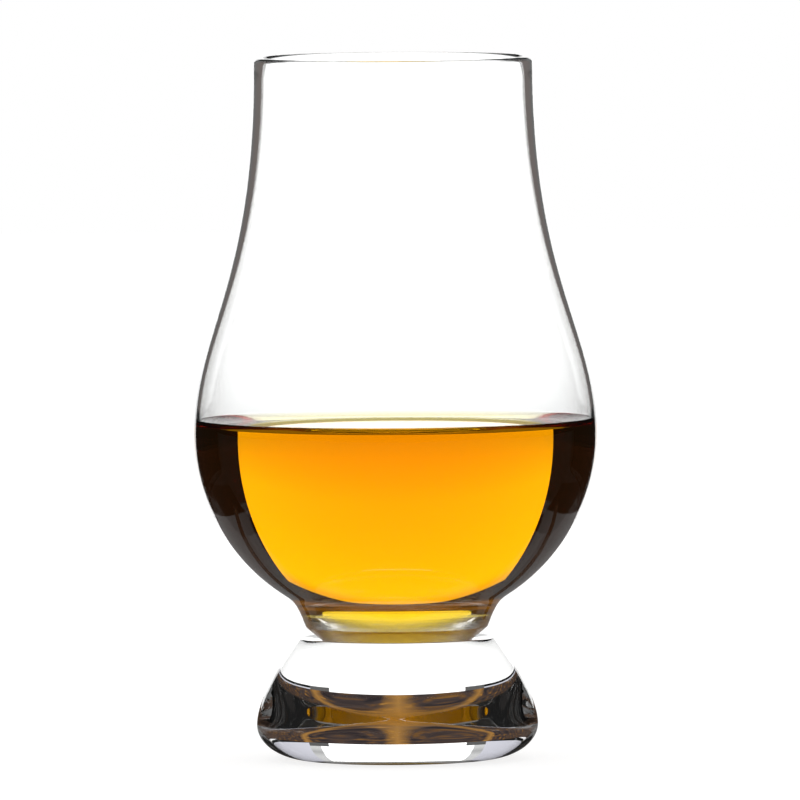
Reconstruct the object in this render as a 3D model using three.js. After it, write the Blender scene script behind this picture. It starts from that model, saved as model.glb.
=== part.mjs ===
// A tulip-shaped whisky nosing glass holding a pour of whisky.
// A blown bowl with a closed round bottom sits in the dished top of a solid pressed foot.
// An open groove runs round the waist, between the bowl's crease and the foot's shoulder.
// Millimetres, +Z up, origin at the centre of the resting plane.
import * as THREE from "three";

// Foot
const footRadius = 23; // at the widest point
const footWidestHeight = 5.7;
const footEdgeRun = 8.5; // from the widest point in to the resting ring
const restRingWidth = 3; // the flat ring that the glass stands on
const recessHeight = 1; // hollow of the underside
const footUpright = 4.7; // how far the side stays upright above the widest point

// Waist, where the bowl sits in the foot
const waistRadius = 14.85; // at the crease
const waistHeight = 21.7;
const shoulderStep = 1.35; // how far the foot's shoulder stands out from the crease
const shoulderDrop = 1.8; // how far the shoulder lies below the crease
const lipInset = 0.9; // how far the shoulder's rounded lip turns in
const lipRise = 0.2; // how far the lip's curve is pulled up
const seatInset = 2.65; // how far the groove's bottom lies in from the crease
const seatDrop = 2.2; // how far the groove's bottom lies below the crease
const seatSag = 4; // how far the bowl's round bottom reaches below the groove
const seatClearance = 0.3; // between the bowl's bottom and the foot's dish
const creaseTuckIn = 1.1; // shape of the bowl's underside, from the crease
const creaseTuckDown = 1;

// Bowl, outside
const neckFlare = 3.45; // how far the neck opens out above the crease
const neckRise = 5.2; // height of the neck
const neckTuck = 1.15; // how far the round bowl carries on down into the neck
const neckTurn = 0.9; // how sharply the neck turns there, from 0 to 1
const bellyRadius = 33; // at the widest point
const bellyRise = 31.3; // height of the widest point above the crease
const bellyFullness = 18; // how far the belly stays full above its widest point
const glassHeight = 115; // resting plane to the top of the rim
const rimRadius = 23;
const chimneyDrop = 36.5; // how far the chimney stays narrow below the rim

// Bowl, wall and cavity
const rimWall = 1.5;
const rimBead = 1.8; // thickness of the fire-polished edge
const bellyWall = 0.8;
const neckWall = 1.3; // at the top of the neck
const floorThickness = 4.5; // glass below the lowest point inside
const floorFlatness = 0.3; // share of the cavity's bottom that stays near level

// Whisky
const pourDepth = 34.6; // lowest point inside to the flat level of the drink
const meniscusRise = 1.3; // how far the drink climbs the wall
const meniscusReach = 3.2; // how far in from the wall the climb fades out
const pourClearance = 0.3; // between the drink and the wall

// Fineness of the facets
const roundFacets = 48; // round the axis
const longSteps = 14; // along the belly or the chimney
const shortSteps = 6; // along a small curve

const glass = { color: 0xf4f7f7, roughness: 0.03, metalness: 0, transparent: true, opacity: 0.35 };
const amber = { color: 0xe08a10, roughness: 0.03, metalness: 0, transparent: true, opacity: 0.8 };

const down = -Math.PI / 2; // the direction of a curve's lowest point
const closeEnough = 1e-6; // points nearer than this are one

const shoulderRadius = waistRadius + shoulderStep;
const shoulderHeight = waistHeight - shoulderDrop;
const neckTopRadius = waistRadius + neckFlare;
const neckTopHeight = waistHeight + neckRise;
const bellyHeight = waistHeight + bellyRise;
const seatRadius = waistRadius - seatInset;
const seatHeight = waistHeight - seatDrop;
const cavityFloor = seatHeight - seatSag + floorThickness;

const point = (radius, height) => new THREE.Vector2(radius, height);

// One outline from several stretches, without repeating the points where they meet.
function chain(...stretches) {
  const outline = [];
  for (const next of stretches.flat()) {
    const last = outline[outline.length - 1];
    if (!last || last.distanceTo(next) > closeEnough) outline.push(next);
  }
  return outline;
}

// A stretch of an upright ellipse between two angles.
function ellipse(centre, halfWidth, halfHeight, from, to, steps) {
  const curve = new THREE.EllipseCurve(
    centre.x, centre.y, halfWidth, halfHeight, from, to, to < from,
  );
  return curve.getPoints(steps);
}

// A shallow round cap from the axis out to its edge. Its middle lies sag below the edge.
function cap(edgeRadius, edgeHeight, sag) {
  const capRadius = (edgeRadius ** 2 + sag ** 2) / (2 * sag);
  const centre = point(0, edgeHeight - sag + capRadius);
  const spread = Math.asin(edgeRadius / capRadius);
  return ellipse(centre, capRadius, capRadius, down, down + spread, shortSteps);
}

// The outline moved sideways off itself, to the left of its direction.
function offset(outline, distanceAt) {
  const end = outline.length - 1;
  return outline.map((here, i) => {
    const along = outline[Math.min(i + 1, end)].clone().sub(outline[Math.max(i - 1, 0)]);
    const distance = distanceAt(here.y) / along.length();
    return point(here.x - along.y * distance, here.y + along.x * distance);
  });
}

// Belly to rim: full above the widest point, then drawn in to the chimney.
function chimneyOutside() {
  const top = glassHeight - rimBead / 2;
  const curve = new THREE.CubicBezierCurve(
    point(bellyRadius, bellyHeight),
    point(bellyRadius, bellyHeight + bellyFullness),
    point(rimRadius, top - chimneyDrop),
    point(rimRadius, top),
  );
  return curve.getPoints(longSteps);
}

// The round lower bowl, from the top of the neck to the belly.
function roundOutside() {
  const angle = -Math.acos(neckTopRadius / bellyRadius);
  const halfHeight = (bellyHeight - neckTopHeight) / Math.sin(-angle);
  return ellipse(point(0, bellyHeight), bellyRadius, halfHeight, angle, 0, longSteps);
}

// Crease to the top of the neck, running smoothly into the round lower bowl.
function neckOutside() {
  const [start, next] = roundOutside();
  const lean = (next.x - start.x) / (next.y - start.y);
  const crease = point(waistRadius, waistHeight);
  const corner = point(start.x - lean * neckTuck, start.y - neckTuck);
  const curve = new THREE.CubicBezierCurve(
    crease,
    crease.clone().lerp(corner, neckTurn),
    start.clone().lerp(corner, neckTurn),
    start,
  );
  return curve.getPoints(shortSteps);
}

// The bowl's bottom: round where the foot holds it, then out of the groove to the crease.
function bowlUnderside() {
  const rise = new THREE.QuadraticBezierCurve(
    point(seatRadius, seatHeight),
    point(waistRadius - creaseTuckIn, waistHeight - creaseTuckDown),
    point(waistRadius, waistHeight),
  );
  return chain(cap(seatRadius, seatHeight, seatSag), rise.getPoints(shortSteps));
}

// The wall's thickness at a height: thinnest at the belly, thicker to the neck and the rim.
function wallAt(height) {
  const { lerp, smoothstep } = THREE.MathUtils;
  const top = glassHeight - rimBead / 2;
  return height < bellyHeight
    ? lerp(neckWall, bellyWall, smoothstep(height, neckTopHeight, bellyHeight))
    : lerp(bellyWall, rimWall, smoothstep(height, bellyHeight, top));
}

// Cavity floor to rim: a rounded bottom, then up inside the wall.
// With a clearance, the same outline kept that far inside the glass.
function cavityWall(clearance) {
  const side = offset(chain(roundOutside(), chimneyOutside()), wallAt);
  const bottom = new THREE.QuadraticBezierCurve(
    point(0, cavityFloor),
    point(side[0].x * floorFlatness, cavityFloor),
    side[0],
  );
  const kept = offset(chain(bottom.getPoints(shortSteps), side), () => clearance);
  kept[0].x = 0;
  return kept;
}

// The rim's rounded edge, from the outside wall over the top to the inside.
function bead() {
  const half = rimBead / 2;
  const centre = point(rimRadius - half, glassHeight - half);
  return ellipse(centre, half, half, 0, Math.PI, shortSteps);
}

// The points of an outline below a height, ending on the outline at that height.
function below(outline, height) {
  const end = outline.findIndex((p) => p.y >= height);
  const low = outline[end - 1];
  const high = outline[end];
  const share = (height - low.y) / (high.y - low.y);
  return [...outline.slice(0, end), low.clone().lerp(high, share)];
}

// The drink's surface, from the wall in to the axis: flat, but for the climb at the wall.
function drinkSurface(contact) {
  const level = contact.y - meniscusRise;
  const third = meniscusReach / 3;
  const climb = new THREE.CubicBezierCurve(
    contact,
    point(contact.x - third, level),
    point(contact.x - 2 * third, level),
    point(contact.x - meniscusReach, level),
  );
  return [...climb.getPoints(shortSteps), point(0, level)];
}

function turned(name, outline, finish) {
  for (const p of outline) p.x = Math.abs(p.x) < closeEnough ? 0 : p.x;
  const geometry = new THREE.LatheGeometry(outline, roundFacets);
  geometry.rotateX(Math.PI / 2);
  const mesh = new THREE.Mesh(geometry, new THREE.MeshStandardMaterial(finish));
  mesh.name = name;
  return mesh;
}

function bowl() {
  const lower = chain(bowlUnderside(), neckOutside(), roundOutside());
  const upper = chimneyOutside().slice(0, -1);
  const inside = cavityWall(0).slice(0, -1).reverse();
  return turned("bowl", chain(lower, upper, bead(), inside), glass);
}

function foot() {
  const restOuterRadius = footRadius - footEdgeRun;
  const underside = cap(restOuterRadius - restRingWidth, 0, -recessHeight);
  const edgeCentre = point(restOuterRadius, footWidestHeight);
  const edge = ellipse(edgeCentre, footEdgeRun, footWidestHeight, down, 0, shortSteps);
  const flare = new THREE.QuadraticBezierCurve(
    point(footRadius, footWidestHeight),
    point(footRadius, footWidestHeight + footUpright),
    point(shoulderRadius, shoulderHeight),
  );
  const lip = new THREE.QuadraticBezierCurve(
    point(shoulderRadius, shoulderHeight),
    point(shoulderRadius - lipInset, shoulderHeight + lipRise),
    point(seatRadius, seatHeight - seatClearance),
  );
  const top = chain(flare.getPoints(shortSteps), lip.getPoints(shortSteps));
  const dish = cap(seatRadius, seatHeight - seatClearance, seatSag).reverse();
  return turned("foot", chain(underside, edge, top, dish), glass);
}

function whisky() {
  const side = below(cavityWall(pourClearance), cavityFloor + pourDepth + meniscusRise);
  const contact = side[side.length - 1];
  return turned("whisky", chain(side, drinkSurface(contact)), amber);
}

const whiskyGlass = new THREE.Group();
whiskyGlass.add(bowl(), foot(), whisky());

export default whiskyGlass;
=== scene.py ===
import math

import bpy
from mathutils import Matrix, Vector


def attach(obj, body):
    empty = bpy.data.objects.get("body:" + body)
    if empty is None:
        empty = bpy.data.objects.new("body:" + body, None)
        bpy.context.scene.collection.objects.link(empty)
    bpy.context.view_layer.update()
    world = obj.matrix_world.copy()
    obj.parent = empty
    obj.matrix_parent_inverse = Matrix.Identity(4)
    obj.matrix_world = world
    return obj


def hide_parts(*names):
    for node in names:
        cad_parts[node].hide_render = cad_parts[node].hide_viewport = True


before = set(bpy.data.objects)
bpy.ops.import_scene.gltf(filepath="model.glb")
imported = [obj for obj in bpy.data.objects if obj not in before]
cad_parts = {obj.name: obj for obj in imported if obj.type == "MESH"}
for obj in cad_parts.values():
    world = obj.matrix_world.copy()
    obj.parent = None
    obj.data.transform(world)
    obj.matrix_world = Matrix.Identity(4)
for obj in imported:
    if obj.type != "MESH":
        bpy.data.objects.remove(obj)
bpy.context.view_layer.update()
print("frame loaded:", sorted(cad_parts))

scene = bpy.context.scene
scene.view_settings.view_transform = "Standard"
bounces = {"all": 32, "through": 32, "thrownBack": 16}  # a ray crosses many walls of glass
scene.cycles.max_bounces = bounces["all"]
scene.cycles.transmission_bounces = bounces["through"]
scene.cycles.glossy_bounces = bounces["thrownBack"]
mm = 0.001
down = -math.pi / 2  # the direction of a curve's lowest point
closeEnough = 1e-4  # points of an outline nearer than this are one


# Wiring of node trees

class Wire:
    # one output in a node tree, which sums and products can be written with

    def __init__(self, tree, socket=None):
        self.tree = tree
        self.socket = socket

    def node(self, kind, settings=None, sockets=None):
        made = self.tree.nodes.new(kind)
        for key, value in (settings or {}).items():
            if key == "stops":
                setStops(made.color_ramp, value)
            else:
                setattr(made, key, value)
        for key, value in (sockets or {}).items():
            if isinstance(value, Wire):
                self.tree.links.new(value.socket, made.inputs[key])
            else:
                made.inputs[key].default_value = value
        shown = [s for s in made.outputs if s.enabled]
        return Wire(self.tree, shown[0]) if shown else None

    def __getitem__(self, name):
        return Wire(self.tree, self.socket.node.outputs[name])

    def maths(self, operation, *values):
        return self.node("ShaderNodeMath", {"operation": operation}, dict(enumerate(values)))

    def __add__(self, other):
        return self.maths("ADD", self, other)

    def __radd__(self, other):
        return self.maths("ADD", other, self)

    def __sub__(self, other):
        return self.maths("SUBTRACT", self, other)

    def __rsub__(self, other):
        return self.maths("SUBTRACT", other, self)

    def __mul__(self, other):
        return self.maths("MULTIPLY", self, other)

    def __rmul__(self, other):
        return self.maths("MULTIPLY", other, self)

    def __truediv__(self, other):
        return self.maths("DIVIDE", self, other)

    def __rtruediv__(self, other):
        return self.maths("DIVIDE", other, self)

    def __mod__(self, other):
        return self.maths("MODULO", self, other)

    def __rmod__(self, other):
        return self.maths("MODULO", other, self)

    def under(self, limit):
        return self.maths("LESS_THAN", self, limit)


def setStops(ramp, stops):
    while len(ramp.elements) < len(stops):
        ramp.elements.new(1.0)
    for element, (place, colour) in zip(ramp.elements, stops):
        element.position = place
        element.color = (*colour, 1.0)


def startFinish(name):
    made = bpy.data.materials.new(name)
    made.use_nodes = True
    made.node_tree.nodes.clear()
    return made, Wire(made.node_tree)


def noise(wire, where, scale, detail):
    return wire.node("ShaderNodeTexNoise", None, {"Vector": where, "Scale": scale, "Detail": detail})


# Outlines, in millimetres: x is the distance from the axis, y the height

def bend(points, steps):
    # a Bezier curve through any number of control points
    curve = []
    for step in range(steps + 1):
        share = step / steps
        row = [Vector(p) for p in points]
        while len(row) > 1:
            row = [a.lerp(b, share) for a, b in zip(row, row[1:])]
        curve.append(row[0])
    return curve


def roundArc(centre, halfWidth, halfHeight, start, end, steps):
    x, y = centre
    angles = [start + (end - start) * step / steps for step in range(steps + 1)]
    return [Vector((x + halfWidth * math.cos(a), y + halfHeight * math.sin(a))) for a in angles]


def cap(edgeRadius, edgeHeight, sag, steps):
    # a shallow round cap from the axis to its edge, sag lower in the middle
    ball = (edgeRadius ** 2 + sag ** 2) / (2 * sag)
    spread = math.asin(edgeRadius / ball)
    return roundArc((0, edgeHeight - sag + ball), ball, ball, down, down + spread, steps)


def chain(*stretches):
    line = []
    for stretch in stretches:
        for p in stretch:
            if not line or (p - line[-1]).length > closeEnough:
                line.append(p)
    return line


def offset(line, distanceAt):
    # the line moved to the left of its direction, by a distance that goes with the height
    last = len(line) - 1
    moved = []
    for i, p in enumerate(line):
        along = (line[min(i + 1, last)] - line[max(i - 1, 0)]).normalized()
        moved.append(p + Vector((-along.y, along.x)) * distanceAt(p.y))
    return moved


def easeBetween(start, end, share):
    return start + (end - start) * share * share * (3 - 2 * share)


def below(line, height):
    end = next(i for i, p in enumerate(line) if p.y >= height)
    share = (height - line[end - 1].y) / (line[end].y - line[end - 1].y)
    return line[:end] + [line[end - 1].lerp(line[end], share)]


# Turning an outline about the axis

def buildLathe():
    tree = bpy.data.node_groups.new("turnOnAxis", "GeometryNodeTree")
    face = tree.interface
    face.new_socket("Geometry", in_out="OUTPUT", socket_type="NodeSocketGeometry")
    face.new_socket("Geometry", in_out="INPUT", socket_type="NodeSocketGeometry")
    face.new_socket("Facets", in_out="INPUT", socket_type="NodeSocketInt")
    face.new_socket("Weld Distance", in_out="INPUT", socket_type="NodeSocketFloat")
    face.new_socket("Crease Angle", in_out="INPUT", socket_type="NodeSocketFloat")
    face.new_socket("Finish", in_out="INPUT", socket_type="NodeSocketMaterial")
    face.new_socket("Joint Finish", in_out="INPUT", socket_type="NodeSocketMaterial")
    given = Wire(tree).node("NodeGroupInput")
    outline, facets = given["Geometry"], given["Facets"]
    points = given.node("GeometryNodeAttributeDomainSize", None, {"Geometry": outline})["Point Count"]
    sheet = given.node("GeometryNodeMeshGrid", None, {"Vertices X": facets + 1, "Vertices Y": points})
    index = given.node("GeometryNodeInputIndex")
    row = index % points
    angle = given.maths("FLOOR", index / points) * math.tau / facets
    here = given.node(
        "GeometryNodeSampleIndex",
        {"data_type": "FLOAT_VECTOR"},
        {"Geometry": outline, "Value": given.node("GeometryNodeInputPosition"), "Index": row},
    )
    parts = given.node("ShaderNodeSeparateXYZ", None, {0: here})
    radius, height = parts["X"], parts["Z"]
    turned = given.node(
        "ShaderNodeCombineXYZ",
        None,
        {
            "X": radius * given.maths("COSINE", angle),
            "Y": radius * given.maths("SINE", angle),
            "Z": height,
        },
    )
    rolled = given.node("GeometryNodeSetPosition", None, {"Geometry": sheet, "Position": turned})
    onSeat = given.node("GeometryNodeInputNamedAttribute", {"data_type": "BOOLEAN"}, {"Name": "seat"})
    seat = given.node(
        "GeometryNodeSampleIndex",
        {"data_type": "BOOLEAN"},
        {"Geometry": outline, "Value": onSeat, "Index": row},
    )
    kept = given.node(
        "GeometryNodeStoreNamedAttribute",
        {"data_type": "BOOLEAN", "domain": "POINT"},
        {"Geometry": rolled, "Name": "seat", "Value": seat},
    )
    welded = given.node(
        "GeometryNodeMergeByDistance", None, {"Geometry": kept, "Distance": given["Weld Distance"]}
    )
    smooth = given.node("GeometryNodeSetShadeSmooth", None, {"Geometry": welded, "Shade Smooth": True})
    turnBetween = given.node("GeometryNodeInputMeshEdgeAngle")["Unsigned Angle"]
    creased = 1.0 - turnBetween.under(given["Crease Angle"])
    crisp = given.node(
        "GeometryNodeSetShadeSmooth",
        {"domain": "EDGE"},
        {"Geometry": smooth, "Selection": creased, "Shade Smooth": False},
    )
    real = given.node("GeometryNodeRealizeInstances", None, {"Geometry": crisp})
    glazed = given.node("GeometryNodeSetMaterial", None, {"Geometry": real, "Material": given["Finish"]})
    joined = given.node(
        "GeometryNodeSetMaterial",
        None,
        {"Geometry": glazed, "Selection": onSeat, "Material": given["Joint Finish"]},
    )
    given.node("NodeGroupOutput", None, {"Geometry": joined})
    return tree


lathe = buildLathe()
lathePlan = {"facets": 256, "weld": 0.5e-6, "creaseAngle": math.radians(25)}


def turnPiece(name, line, seatPoints, finish, jointFinish):
    # seatPoints counts the outline's points on the fused seat: its first ones, or its last if negative
    mesh = bpy.data.meshes.new(name + "Outline")
    edges = [(i, i + 1) for i in range(len(line) - 1)]
    mesh.from_pydata([(p.x * mm, 0, p.y * mm) for p in line], edges, [])
    flags = mesh.attributes.new("seat", "BOOLEAN", "POINT")
    for i in range(len(line)):
        flags.data[i].value = i < seatPoints if seatPoints >= 0 else i >= len(line) + seatPoints
    piece = bpy.data.objects.new(name, mesh)
    scene.collection.objects.link(piece)
    turning = piece.modifiers.new("turnOnAxis", "NODES")
    turning.node_group = lathe
    wanted = {
        "Facets": lathePlan["facets"],
        "Weld Distance": lathePlan["weld"],
        "Crease Angle": lathePlan["creaseAngle"],
        "Finish": finish,
        "Joint Finish": jointFinish,
    }
    for item in lathe.interface.items_tree:
        if item.in_out == "INPUT" and item.name in wanted:
            turning[item.identifier] = wanted[item.name]
    bpy.context.view_layer.update()
    solid = bpy.data.meshes.new_from_object(piece.evaluated_get(bpy.context.evaluated_depsgraph_get()))
    piece.modifiers.remove(turning)
    piece.data = solid
    solid.name = name
    bpy.data.meshes.remove(mesh)
    print("turned", name, "with", len(solid.polygons), "faces")
    return piece


# Glass: clear, with faint marks of a cloth and a slight wave

bowlLook = {
    "ior": 1.5,
    "tint": (0.995, 1.0, 0.998),
    "smearScale": 160.0,
    "smearDetail": 3.0,
    "smearRange": (0.55, 0.8),
    "smearRoughness": 0.012,
    "waveScale": 55.0,
    "waveDetail": 1.0,
    "waveHeight": 0.00001,
    "grainBand": (17.0, 23.0),  # heights of the joint, where the glass is grainy
    "grainScale": 3500.0,
    "grainDetail": 2.0,
    "grainRoughness": 0.25,
    "grainDepth": 0.00003,
}
footLook = {**bowlLook, "waveScale": 165.0, "grainBand": None}  # pressed, so with no grain


def glassFinish(name, look):
    made, wire = startFinish(name)
    where = wire.node("ShaderNodeTexCoord")["Object"]
    smears = noise(wire, where, look["smearScale"], look["smearDetail"])
    clean, smeared = look["smearRange"]
    roughness = wire.node(
        "ShaderNodeMapRange",
        None,
        {"Value": smears, "From Min": clean, "From Max": smeared, "To Max": look["smearRoughness"]},
    )
    waves = noise(wire, where, look["waveScale"], look["waveDetail"])
    ripple = wire.node(
        "ShaderNodeBump", None, {"Strength": 1.0, "Distance": look["waveHeight"], "Height": waves}
    )
    if look["grainBand"]:
        height = wire.node("ShaderNodeSeparateXYZ", None, {0: where})["Z"]
        low, high = look["grainBand"]
        joint = height.under(high * mm) - height.under(low * mm)
        specks = noise(wire, where, look["grainScale"], look["grainDetail"]) * joint
        ripple = wire.node(
            "ShaderNodeBump",
            None,
            {"Strength": 1.0, "Distance": look["grainDepth"], "Height": specks, "Normal": ripple},
        )
        roughness = roughness + joint * look["grainRoughness"]
    shade = wire.node(
        "ShaderNodeBsdfPrincipled",
        None,
        {
            "Base Color": (*look["tint"], 1.0),
            "Roughness": roughness,
            "IOR": look["ior"],
            "Transmission Weight": 1.0,
            "Normal": ripple,
        },
    )
    wire.node("ShaderNodeOutputMaterial", None, {"Surface": shade})
    return made


def fusedFinish():
    # where bowl and foot are one piece of glass, nothing shows
    made, wire = startFinish("fusedJoint")
    clear = wire.node("ShaderNodeBsdfTransparent")
    wire.node("ShaderNodeOutputMaterial", None, {"Surface": clear})
    return made


# Drink: takes its colour from its depth

drinkLook = {
    "ior": 1.36,
    "absorb": (0.5, 19.0, 170.0),  # per metre of drink, for red, green and blue
    "swirlScale": 30.0,
    "swirlDetail": 2.0,
    "swirlHues": [(0.3, (1.0, 0.99, 0.97)), (0.7, (1.0, 1.0, 1.0))],
}


def drinkFinish():
    made, wire = startFinish("whisky")
    where = wire.node("ShaderNodeTexCoord")["Object"]
    swirl = noise(wire, where, drinkLook["swirlScale"], drinkLook["swirlDetail"])
    hue = wire.node("ShaderNodeValToRGB", {"stops": drinkLook["swirlHues"]}, {"Fac": swirl})
    shade = wire.node(
        "ShaderNodeBsdfPrincipled",
        None,
        {"Base Color": hue, "Roughness": 0.0, "IOR": drinkLook["ior"], "Transmission Weight": 1.0},
    )
    most = max(drinkLook["absorb"])
    left = [1 - a / most for a in drinkLook["absorb"]]
    depth = wire.node("ShaderNodeVolumeAbsorption", None, {"Color": (*left, 1.0), "Density": most})
    wire.node("ShaderNodeOutputMaterial", None, {"Surface": shade, "Volume": depth})
    return made


bowlGlass = glassFinish("clearGlass", bowlLook)
footGlass = glassFinish("pressedGlass", footLook)
jointClear = fusedFinish()
drink = drinkFinish()
print("finishes made")


# Foot: solid pressed glass with a dished top

seatForm = {"radius": 12.2, "height": 19.5, "sag": 4.0, "steps": 24}
footForm = {
    "radius": 23.0,
    "widestHeight": 5.7,
    "edgeRun": 8.5,
    "ringWidth": 3.0,
    "recess": 1.0,
    "upright": 4.7,
    "shoulderRadius": 16.2,
    "shoulderHeight": 19.9,
    "lipInset": 0.9,
    "lipRise": 0.2,
    "underSteps": 24,
    "sideSteps": 40,
    "lipSteps": 20,
}


def footLine():
    f = footForm
    ringRadius = f["radius"] - f["edgeRun"]
    under = cap(ringRadius - f["ringWidth"], 0, -f["recess"], f["underSteps"])
    edgeCentre = (ringRadius, f["widestHeight"])
    edge = roundArc(edgeCentre, f["edgeRun"], f["widestHeight"], down, 0, f["sideSteps"])
    side = bend(
        [
            (f["radius"], f["widestHeight"]),
            (f["radius"], f["widestHeight"] + f["upright"]),
            (f["shoulderRadius"], f["shoulderHeight"]),
        ],
        f["sideSteps"],
    )
    lip = bend(
        [
            (f["shoulderRadius"], f["shoulderHeight"]),
            (f["shoulderRadius"] - f["lipInset"], f["shoulderHeight"] + f["lipRise"]),
            (seatForm["radius"], seatForm["height"]),
        ],
        f["lipSteps"],
    )
    return chain(under, edge, side, lip)


seatCurve = cap(seatForm["radius"], seatForm["height"], seatForm["sag"], seatForm["steps"])
footOutline = chain(footLine(), seatCurve[::-1])
foot = turnPiece("pressedFoot", footOutline, -len(seatCurve), footGlass, jointClear)


# Bowl: blown glass with a round bottom, a full belly and a narrow mouth

bowlForm = {
    "waistRadius": 14.85,
    "waistHeight": 21.7,
    "tuckIn": 1.1,
    "tuckDown": 1.0,
    "neckFlare": 3.45,
    "neckRise": 5.2,
    "neckTuck": 1.15,
    "neckTurn": 0.9,  # how sharply the neck turns, from 0 to 1
    "bellyRadius": 33.0,
    "bellyHeight": 53.0,
    "bellyFullness": 18.0,
    "height": 115.0,
    "rimRadius": 23.0,
    "chimneyDrop": 36.5,
    "rimWall": 1.5,
    "rimBead": 1.8,
    "bellyWall": 0.8,
    "neckWall": 1.3,
    "floorHeight": 20.0,
    "floorFlatness": 0.3,
    "wallSteps": 60,
    "neckSteps": 30,
    "underSteps": 16,
    "floorSteps": 30,
    "beadSteps": 20,
}


def chimneyLine():
    b = bowlForm
    top = b["height"] - b["rimBead"] / 2
    return bend(
        [
            (b["bellyRadius"], b["bellyHeight"]),
            (b["bellyRadius"], b["bellyHeight"] + b["bellyFullness"]),
            (b["rimRadius"], top - b["chimneyDrop"]),
            (b["rimRadius"], top),
        ],
        b["wallSteps"],
    )


def roundLine():
    b = bowlForm
    angle = -math.acos((b["waistRadius"] + b["neckFlare"]) / b["bellyRadius"])
    halfHeight = (b["bellyHeight"] - b["waistHeight"] - b["neckRise"]) / math.sin(-angle)
    return roundArc((0, b["bellyHeight"]), b["bellyRadius"], halfHeight, angle, 0, b["wallSteps"])


def neckLine():
    b = bowlForm
    start, following = roundLine()[:2]
    along = following - start
    pull = start - along * (b["neckTuck"] / along.y)
    crease = Vector((b["waistRadius"], b["waistHeight"]))
    turn = b["neckTurn"]
    return bend([crease, crease.lerp(pull, turn), start.lerp(pull, turn), start], b["neckSteps"])


def underLine():
    b = bowlForm
    return bend(
        [
            (seatForm["radius"], seatForm["height"]),
            (b["waistRadius"] - b["tuckIn"], b["waistHeight"] - b["tuckDown"]),
            (b["waistRadius"], b["waistHeight"]),
        ],
        b["underSteps"],
    )


def wallAt(height):
    # thinnest at the belly
    b = bowlForm
    belly = b["bellyHeight"]
    neckTop = b["waistHeight"] + b["neckRise"]
    if height < belly:
        return easeBetween(b["neckWall"], b["bellyWall"], (height - neckTop) / (belly - neckTop))
    top = b["height"] - b["rimBead"] / 2
    return easeBetween(b["bellyWall"], b["rimWall"], (height - belly) / (top - belly))


def insideLine():
    b = bowlForm
    wall = offset(chain(roundLine(), chimneyLine()), wallAt)
    start = wall[0]
    low = b["floorHeight"]
    bottom = bend([(0, low), (start.x * b["floorFlatness"], low), start], b["floorSteps"])
    return chain(bottom, wall)


def bowlLine():
    b = bowlForm
    half = b["rimBead"] / 2
    beadCentre = (b["rimRadius"] - half, b["height"] - half)
    bead = roundArc(beadCentre, half, half, 0, math.pi, b["beadSteps"])
    outside = chain(seatCurve, underLine(), neckLine(), roundLine(), chimneyLine()[:-1])
    return chain(outside, bead, insideLine()[:-1][::-1])


bowl = turnPiece("blownBowl", bowlLine(), len(seatCurve), bowlGlass, jointClear)


# Whisky: fills the bowl to the level and climbs the wall a little

pourForm = {
    "level": 54.6,
    "climb": 1.3,
    "reach": 3.2,  # how far in from the wall the climb fades out
    "cling": 0.25,  # share of the climb that runs down along the wall
    "hug": 0.25,  # how closely the level part comes to the wall, from 0 to 1
    "intoWall": 0.06,  # the drink wets the glass, so that no air lies between
    "surfaceSteps": 24,
}


def pourLine():
    p = pourForm
    wetted = offset(insideLine(), lambda height: -p["intoWall"])
    wetted[0].x = 0
    side = below(wetted, p["level"] + p["climb"])
    edge = side[-1]
    surface = bend(
        [
            edge,
            (edge.x, edge.y - p["climb"] * p["cling"]),
            (edge.x - p["reach"] * (1 - p["hug"]), p["level"]),
            (edge.x - p["reach"], p["level"]),
        ],
        p["surfaceSteps"],
    )
    return chain(side, surface, [Vector((0, p["level"]))])


whisky = turnPiece("pouredWhisky", pourLine(), 0, drink, drink)

for piece, node, slot in (
    (bowl, "bowl", "clear_glass"),
    (foot, "foot", "foot_glass"),
    (whisky, "whisky", "whisky"),
):
    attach(piece, "root")
    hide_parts(node)
print("pieces in place")


# Studio: what a stage piece shows goes with how a ray has come through the glass

faces = {"one": 1.0, "few": 3.0}  # a ray has come through fewer faces of glass than this


def thrownBack(wire):
    # 1 for a ray that any surface has thrown back on its way, 0 for one that has only come through
    return wire.maths("MINIMUM", wire.node("ShaderNodeLightPath")["Glossy Depth"], 1.0)


def fewerFaces(wire, count):
    return wire.node("ShaderNodeLightPath")["Transmission Depth"].under(count)


def throughFoot(wire):
    # a ray that has come through one solid alone, straight on
    return fewerFaces(wire, faces["few"]) * (1.0 - thrownBack(wire))


def inWall(wire):
    # a ray that a wall has turned back inside itself
    return thrownBack(wire) * (fewerFaces(wire, faces["few"]) - fewerFaces(wire, faces["one"]))


def placeOn(wire):
    return wire.node("ShaderNodeSeparateXYZ", None, {0: wire.node("ShaderNodeTexCoord")["Object"]})


def mix(wire, share, first, second):
    return wire.node("ShaderNodeMix", {"data_type": "RGBA"}, {"Factor": share, "A": first, "B": second})


def setSurface(made, wire, shade):
    wire.node("ShaderNodeOutputMaterial", None, {"Surface": shade})
    made.cycles.emission_sampling = "NONE"
    return made


def stageFlat(name, corners, finish):
    mesh = bpy.data.meshes.new(name)
    mesh.from_pydata([[along * mm for along in corner] for corner in corners], [], [(0, 1, 2, 3)])
    mesh.materials.append(finish)
    flat = bpy.data.objects.new(name, mesh)
    scene.collection.objects.link(flat)
    return flat


def standBoard(name, start, end, low, high, finish):
    # an upright board over a run of floor points, seen only in and through the glass
    corners = [(*start, low), (*end, low), (*end, high), (*start, high)]
    board = stageFlat(name, corners, finish)
    board.visible_camera = False
    board.visible_diffuse = False
    board.visible_shadow = False
    return board


# Table: white, with painted light that shows in reflections: a lit patch, a glow close behind the foot, and
# painted shade under the foot

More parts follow.
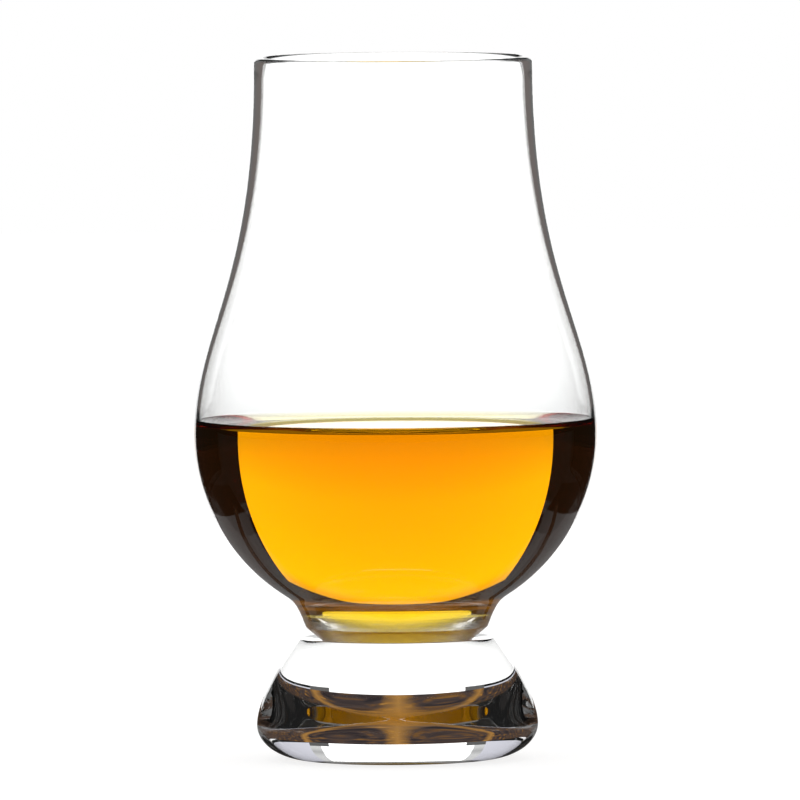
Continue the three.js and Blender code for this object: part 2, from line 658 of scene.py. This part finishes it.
tableForm = {
    "halfWidth": 2000.0,
    "drop": 0.05,  # below the resting plane, so that glass and table don't share a face
    "glow": 0.8,
    "glowThroughGlass": 1.1,
    "paint": 0.28,
    # a painted pool of light on the table, seen only in reflections
    "sheetHalfWidth": 97.0,
    "sheetFront": 14.0,
    "sheetBack": 175.0,
    "sheetInReflection": 0.22,
    "restInReflection": 0.01,
    "insideHalfWidth": 24.0,  # the part close behind the foot, painted to glow as reflected inside the glass
    "insideBack": 42.0,
    "insideGlow": 2.0,
    # painted shade on the table under and just round the foot, as reflected inside the glass
    "footShade": 25.0,
    "underFoot": 0.06,
}


def tableFinish():
    t = tableForm
    made, wire = startFinish("whiteTable")
    place = placeOn(wire)
    x, y = place["X"], place["Y"]
    aside = wire.maths("ABSOLUTE", x)
    # painted pool of light: the lit patch, brighter in reflections than the rest of the table
    onLitPatch = aside.under(t["sheetHalfWidth"] * mm) * y.under(t["sheetBack"] * mm)
    onLitPatch = onLitPatch * (1.0 - y.under(t["sheetFront"] * mm))
    mirrored = t["restInReflection"] + onLitPatch * (t["sheetInReflection"] - t["restInReflection"])
    inside = 1.0 - fewerFaces(wire, faces["one"])
    # painted glow close behind the foot, cut to painted shade under the foot, for rays reflected inside the
    # glass
    shaded = (x * x + y * y).under((t["footShade"] * mm) ** 2)
    behind = (1.0 - y.under(0.0)) * y.under(t["insideBack"] * mm)
    behind = behind * aside.under(t["insideHalfWidth"] * mm)
    glowNearFoot = behind * (1.0 - shaded * (1.0 - t["underFoot"]))
    mirrored = mirrored + inside * glowNearFoot * (t["insideGlow"] - mirrored)
    level = 1.0 - thrownBack(wire) * (1.0 - mirrored)
    direct = wire.node("ShaderNodeLightPath")["Is Camera Ray"]
    shown = t["glowThroughGlass"] + direct * (t["glow"] - t["glowThroughGlass"])
    glow = wire.node("ShaderNodeEmission", None, {"Color": level * shown})
    paint = wire.node("ShaderNodeBsdfDiffuse", None, {"Color": (*[t["paint"]] * 3, 1.0)})
    return setSurface(made, wire, wire.node("ShaderNodeAddShader", None, {0: glow, 1: paint}))


def setTable():
    half = tableForm["halfWidth"]
    corners = [(-half, -half, 0), (half, -half, 0), (half, half, 0), (-half, half, 0)]
    table = stageFlat("whiteTable", corners, tableFinish())
    table.location.z = -tableForm["drop"] * mm


# Bright board behind the glass

boardForm = {
    "distance": 195.0,
    "halfWidth": 91.0,
    "height": 172.0,
    "glow": (  # heights, and how bright the board is there
        (25.0, 1.6),
        (44.0, 1.1),
        (54.0, 1.35),
        (69.0, 1.7),
        (140.0, 1.95),
        (150.0, 1.9),
        (172.0, 1.2),
    ),
    "inWall": 0.12,
    "lowBand": 17.0,  # the foot alone shows the board's sides darker, from these half widths out
    "lowHalfWidth": 62.0,
    "lowShade": 0.08,
    "restHalfWidth": 73.0,
    "restShade": 0.45,
}


def boardFinish():
    b = boardForm
    made, wire = startFinish("brightBoard")
    place = placeOn(wire)
    height = place["Z"]
    aside = wire.maths("ABSOLUTE", place["X"])
    level = b["glow"][0][1]
    for (low, lowGlow), (high, highGlow) in zip(b["glow"], b["glow"][1:]):
        rise = {"Value": height, "From Min": low * mm, "From Max": high * mm, "To Max": highGlow - lowGlow}
        level = level + wire.node("ShaderNodeMapRange", None, rise)
    level = level * (1.0 - inWall(wire) * (1.0 - b["inWall"]))
    isLow = height.under(b["lowBand"] * mm)
    lowSides = isLow * (1.0 - aside.under(b["lowHalfWidth"] * mm))
    restSides = (1.0 - isLow) * (1.0 - aside.under(b["restHalfWidth"] * mm))
    seen = throughFoot(wire)
    level = level * (1.0 - seen * lowSides * (1.0 - b["lowShade"]))
    level = level * (1.0 - seen * restSides * (1.0 - b["restShade"]))
    return setSurface(made, wire, wire.node("ShaderNodeEmission", None, {"Color": level}))


# Dark boards: a header over the bright one, a wing on each side of it, and a flag on each side of the foot

wingForm = {
    "end": (203.86, 100.5),
    "height": 400.0,
    "glow": 0.008,
    # painted light: the pale colour the dark wings show where lit, for rays through the foot
    "throughFoot": (0.75, 0.75, 0.83),
    "litBehind": 90.0,  # where the wings are lit for rays through the foot
    "litAbove": 8.0,
    # painted light: a dim warm glow on the wings above inWallAbove, for rays a wall has turned back
    "inWall": (0.19, 0.165, 0.155),
    "inWallAbove": 56.0,
}
flagForm = {"aside": 60.0, "run": (5.0, 45.0), "span": (4.0, 32.0)}


def wingFinish():
    w = wingForm
    made, wire = startFinish("darkWing")
    place = placeOn(wire)
    # painted light on the dark wings: pale where lit for rays through the foot, and a dim warm glow for rays
    # a wall has turned back
    lit = (1.0 - place["Y"].under(w["litBehind"] * mm)) * (1.0 - place["Z"].under(w["litAbove"] * mm))
    turnedBack = inWall(wire) * (1.0 - place["Z"].under(w["inWallAbove"] * mm))
    dark = (*[w["glow"]] * 3, 1.0)
    hue = mix(wire, lit * throughFoot(wire), dark, (*w["throughFoot"], 1.0))
    hue = mix(wire, turnedBack, hue, (*w["inWall"], 1.0))
    return setSurface(made, wire, wire.node("ShaderNodeEmission", None, {"Color": hue}))


# Painted shade strip: low, mottled and dark, seen only through the foot, with painted gold light in its
# middle

stripForm = {
    "distance": 30.0,
    "halfWidth": 95.0,
    "low": 3.6,
    "high": 9.2,
    "mottleStretch": (1.0, 1.0, 0.4),
    "mottleScale": 3500.0,
    "mottleDetail": 6.0,
    # painted shade: dark mottled browns
    "hues": [
        (0.35, (0.03, 0.025, 0.028)),
        (0.5, (0.07, 0.05, 0.045)),
        (0.6, (0.16, 0.08, 0.03)),
        (0.72, (0.5, 0.25, 0.06)),
    ],
    # painted gold light down the strip's middle
    "gold": (0.5, 0.25, 0.06),
    "goldHalfWidth": 0.3,
    "goldShare": 0.8,
}


def paintedShadeFinish():
    s = stripForm
    made, wire = startFinish("paintedShadeStrip")
    where = wire.node("ShaderNodeTexCoord")["Object"]
    stretched = wire.node("ShaderNodeMapping", None, {"Vector": where, "Scale": s["mottleStretch"]})
    mottle = noise(wire, stretched, s["mottleScale"], s["mottleDetail"])
    # painted shade, mottled
    brown = wire.node("ShaderNodeValToRGB", {"stops": s["hues"]}, {"Fac": mottle})
    # painted gold light, fading out from the middle
    aside = wire.maths("ABSOLUTE", placeOn(wire)["X"])
    fade = {"Value": aside, "From Max": s["goldHalfWidth"] * mm, "To Min": s["goldShare"], "To Max": 0.0}
    share = wire.node("ShaderNodeMapRange", None, fade)
    hue = mix(wire, share, brown, (*s["gold"], 1.0))
    return setSurface(made, wire, wire.node("ShaderNodeEmission", None, {"Color": hue}))


def setBoards():
    half, back, top = boardForm["halfWidth"], boardForm["distance"], boardForm["height"]
    standBoard("brightBoard", (-half, back), (half, back), 0, top, boardFinish())
    dark = wingFinish()
    standBoard("darkHeader", (-half, back), (half, back), top, wingForm["height"], dark)
    endX, endY = wingForm["end"]
    for side, name in ((-1, "Left"), (1, "Right")):
        standBoard("darkWing" + name, (side * half, back), (side * endX, endY), 0, wingForm["height"], dark)
        start, end = [(side * flagForm["aside"], y) for y in flagForm["run"]]
        flag = standBoard("darkFlag" + name, start, end, *flagForm["span"], dark)
        flag.visible_glossy = False
    # a low strip of painted shade with painted gold light, seen only through the foot
    wide, away = stripForm["halfWidth"], stripForm["distance"]
    run = (-wide, away), (wide, away)
    standBoard("paintedShadeStrip", *run, stripForm["low"], stripForm["high"], paintedShadeFinish())


# Room: white all round, dark where the glass mirrors it, but for a soft lamp overhead

roomForm = {"inReflection": 0.01, "lampGlow": 0.25, "lampAbove": 0.6}


def lightRoom():
    world = bpy.data.worlds.new("whiteRoom")
    scene.world = world
    world.use_nodes = True
    world.node_tree.nodes.clear()
    wire = Wire(world.node_tree)
    upward = wire.node("ShaderNodeSeparateXYZ", None, {0: wire.node("ShaderNodeTexCoord")["Generated"]})["Z"]
    deep = 1.0 - fewerFaces(wire, faces["few"])
    lamp = deep * (1.0 - upward.under(roomForm["lampAbove"])) * roomForm["lampGlow"]
    level = 1.0 - thrownBack(wire) * (1.0 - roomForm["inReflection"] - lamp)
    air = wire.node("ShaderNodeBackground", None, {"Color": level})
    wire.node("ShaderNodeOutputWorld", None, {"Surface": air})


setTable()
setBoards()
lightRoom()
print("studio set")


# Camera: a little above the glass and far off, as a long lens sees it

viewPlan = {
    "pixelsPerMm": 6.107,
    "axisPixel": (395.3, 758.5),  # where the foot's centre falls
    "elevation": 3.0,
    "roll": -0.4,
    "distance": 3.0,
    "farthest": 20.0,
    "picture": 800.0,
}


def setCamera():
    v = viewPlan
    lift = math.radians(v["elevation"])
    ahead = Vector((0, math.cos(lift), -math.sin(lift)))
    up = Vector((0, math.sin(lift), math.cos(lift)))
    across = Vector((1, 0, 0))
    perPixel = mm / v["pixelsPerMm"]
    middle = v["picture"] / 2
    axisX, axisY = v["axisPixel"]
    aim = across * (middle - axisX) * perPixel + up * (axisY - middle) * perPixel
    data = bpy.data.cameras.new("longLens")
    camera = bpy.data.objects.new("longLens", data)
    scene.collection.objects.link(camera)
    turn = Matrix((across, up, -ahead)).transposed().to_4x4()
    roll = Matrix.Rotation(math.radians(v["roll"]), 4, "Z")
    camera.matrix_world = Matrix.Translation(aim - ahead * v["distance"]) @ turn @ roll
    data.lens = data.sensor_width * v["distance"] / (v["picture"] * perPixel)
    data.clip_end = v["farthest"]
    scene.camera = camera


setCamera()
print("camera set")
